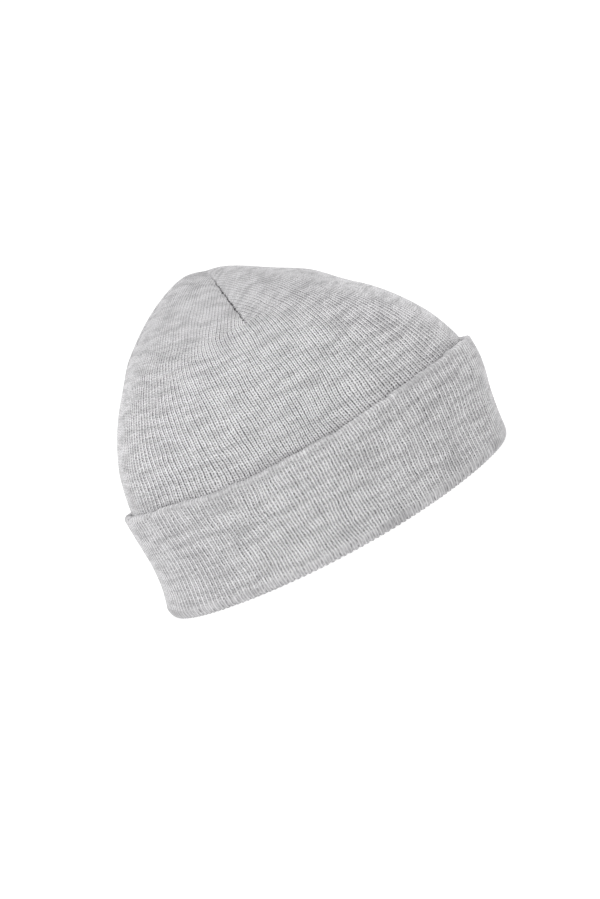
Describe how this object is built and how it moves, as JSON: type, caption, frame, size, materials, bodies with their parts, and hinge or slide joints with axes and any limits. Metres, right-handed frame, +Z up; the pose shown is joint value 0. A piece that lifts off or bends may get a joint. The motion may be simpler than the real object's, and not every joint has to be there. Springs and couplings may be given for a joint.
{
  "type": "knit cap",
  "caption": "Light grey marl rib-knit cap with a domed crown closed by darts and a wide turned-up cuff, open underneath for the head.",
  "frame": {"origin": "middle of the oval rim, on the surface that the rim stands on", "axes": "+Z up through the crown, -Y towards the forehead, +Y towards the nape, X across the head"},
  "size_m": [0.1762, 0.2202, 0.1614],
  "materials": {
    "crown_knit": "soft heathered light grey rib knit",
    "cuff_knit": "soft heathered light grey rib knit, stretched a little wider"
  },
  "bodies": {
    "root": {"crown": "crown_knit", "cuff": "cuff_knit"}
  },
  "joints": []
}
